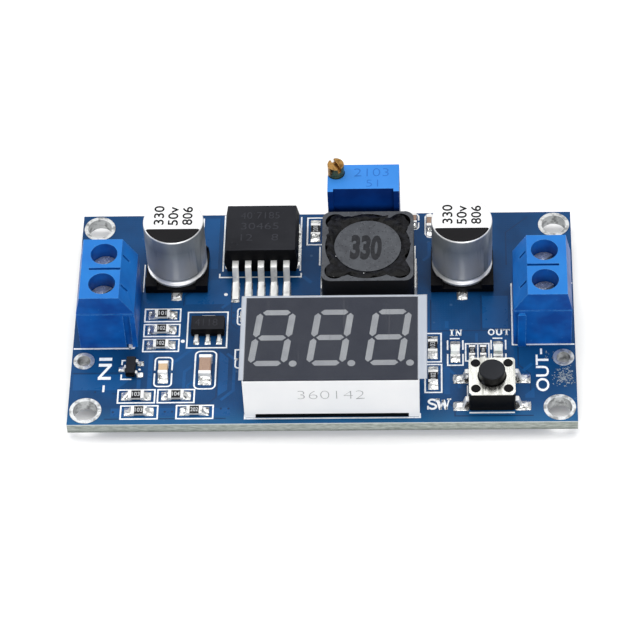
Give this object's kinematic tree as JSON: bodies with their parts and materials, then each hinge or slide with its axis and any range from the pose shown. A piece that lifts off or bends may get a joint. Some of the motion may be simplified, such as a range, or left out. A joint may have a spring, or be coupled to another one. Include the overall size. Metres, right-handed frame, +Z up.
{
  "type": "buck converter module",
  "caption": "Adjustable step-down converter board with screw terminals at both ends, a shielded inductor, a trimmer and a three-digit voltmeter with a push switch.",
  "frame": {"origin": "centre of the board on its underside, at the middle of the four mounting holes", "axes": "+X towards the output terminals along the board, +Y towards the trimmer edge, +Z up out of the component side"},
  "size_m": [0.066, 0.036, 0.0146],
  "materials": {
    "solder_mask": "glossy blue solder mask over woven glass laminate",
    "tinned_copper": "bright tinned copper",
    "solder": "bright solder with a frosted skin",
    "terminal_blue": "moulded nylon, satin blue",
    "brass_contact": "stamped brass",
    "nickel_screw": "nickel plated steel",
    "can_aluminium": "drawn aluminium, satin",
    "black_moulding": "matt black moulding",
    "package_epoxy": "charcoal moulding compound",
    "ferrite": "ground grey ferrite",
    "winding_copper": "enamelled copper wire",
    "adhesive": "black adhesive, uneven gloss",
    "trimmer_blue": "moulded case, satin blue",
    "brass_screw": "turned brass",
    "display_white": "moulded case, satin white",
    "display_face": "slate grey paint",
    "display_resin": "clouded cast epoxy",
    "clear_film": "loose clear protective film",
    "switch_steel": "pressed stainless steel",
    "button_black": "matt black moulding",
    "resistor_body": "black glazed resistor element on alumina",
    "capacitor_body": "brown sintered ceramic",
    "indicator_base": "white laminate",
    "indicator_lens": "milky epoxy lens"
  },
  "bodies": {
    "module": {"mounting_hole_plating": "tinned_copper", "wire_hole_plating": "tinned_copper", "circuit_board": "solder_mask", "solder_lands": "tinned_copper", "solder_joints": "solder", "input_terminal_housing": "terminal_blue", "input_terminal_contacts": "brass_contact", "output_terminal_housing": "terminal_blue", "output_terminal_contacts": "brass_contact", "input_capacitor_base": "black_moulding", "input_capacitor_can": "can_aluminium", "input_capacitor_leads": "tinned_copper", "output_capacitor_base": "black_moulding", "output_capacitor_can": "can_aluminium", "output_capacitor_leads": "tinned_copper", "regulator_package": "package_epoxy", "regulator_tab": "tinned_copper", "regulator_leads": "tinned_copper", "inductor_base": "black_moulding", "inductor_shield": "ferrite", "inductor_drum_core": "ferrite", "inductor_winding": "winding_copper", "inductor_adhesive": "adhesive", "inductor_terminals": "tinned_copper", "trimmer_housing": "trimmer_blue", "trimmer_pins": "tinned_copper", "display_housing": "display_white", "display_face_mask": "display_face", "display_resin": "display_resin", "display_pins": "tinned_copper", "display_film": "clear_film", "microcontroller_package": "package_epoxy", "microcontroller_leads": "tinned_copper", "switch_base": "black_moulding", "switch_cover": "switch_steel", "switch_dome": "switch_steel", "switch_leads": "tinned_copper", "chip_resistors": "resistor_body", "chip_capacitors": "capacitor_body", "chip_end_caps": "tinned_copper", "small_regulator_package": "package_epoxy", "transistor_package": "package_epoxy", "diode_package": "package_epoxy", "small_part_leads": "tinned_copper", "indicator_bases": "indicator_base", "indicator_lenses": "indicator_lens"},
    "input_plus_wire_guard": {"input_plus_wire_guard": "brass_contact"},
    "input_plus_screw": {"input_plus_screw": "nickel_screw"},
    "input_minus_wire_guard": {"input_minus_wire_guard": "brass_contact"},
    "input_minus_screw": {"input_minus_screw": "nickel_screw"},
    "output_plus_wire_guard": {"output_plus_wire_guard": "brass_contact"},
    "output_plus_screw": {"output_plus_screw": "nickel_screw"},
    "output_minus_wire_guard": {"output_minus_wire_guard": "brass_contact"},
    "output_minus_screw": {"output_minus_screw": "nickel_screw"},
    "switch_button": {"switch_button": "button_black"},
    "trimmer_screw": {"trimmer_screw": "brass_screw"}
  },
  "joints": [
    {"name": "input_plus_guard_slide", "type": "slide", "parent": "module", "child": "input_plus_wire_guard", "axis": [0, 0, 1], "range_m": [-0.001, 0.0005]},
    {"name": "input_plus_screw_turn", "type": "hinge", "parent": "input_plus_wire_guard", "child": "input_plus_screw", "pos_m": [-0.0285, 0.00254, 0.0072], "axis": [0, 0, 1], "range_deg": [-720, 360]},
    {"name": "input_minus_guard_slide", "type": "slide", "parent": "module", "child": "input_minus_wire_guard", "axis": [0, 0, 1], "range_m": [-0.001, 0.0005]},
    {"name": "input_minus_screw_turn", "type": "hinge", "parent": "input_minus_wire_guard", "child": "input_minus_screw", "pos_m": [-0.0285, -0.00254, 0.0072], "axis": [0, 0, 1], "range_deg": [-720, 360]},
    {"name": "output_plus_guard_slide", "type": "slide", "parent": "module", "child": "output_plus_wire_guard", "axis": [0, 0, 1], "range_m": [-0.001, 0.0005]},
    {"name": "output_plus_screw_turn", "type": "hinge", "parent": "output_plus_wire_guard", "child": "output_plus_screw", "pos_m": [0.029, 0.00254, 0.0072], "axis": [0, 0, 1], "range_deg": [-720, 360]},
    {"name": "output_minus_guard_slide", "type": "slide", "parent": "module", "child": "output_minus_wire_guard", "axis": [0, 0, 1], "range_m": [-0.001, 0.0005]},
    {"name": "output_minus_screw_turn", "type": "hinge", "parent": "output_minus_wire_guard", "child": "output_minus_screw", "pos_m": [0.029, -0.00254, 0.0072], "axis": [0, 0, 1], "range_deg": [-720, 360]},
    {"name": "switch_press", "type": "slide", "parent": "module", "child": "switch_button", "axis": [0, 0, -1], "range_m": [0, 0.00025], "stiffness_N_per_m": 6400},
    {"name": "trimmer_turn", "type": "hinge", "parent": "module", "child": "trimmer_screw", "pos_m": [0.00166, 0.01637, 0.01165], "axis": [0, 0, 1], "continuous": true}
  ],
  "couplings": [
    {"joint": "input_plus_screw_turn", "follows": "input_plus_guard_slide", "rad_per_m": 12566},
    {"joint": "input_minus_screw_turn", "follows": "input_minus_guard_slide", "rad_per_m": 12566},
    {"joint": "output_plus_screw_turn", "follows": "output_plus_guard_slide", "rad_per_m": 12566},
    {"joint": "output_minus_screw_turn", "follows": "output_minus_guard_slide", "rad_per_m": 12566}
  ]
}
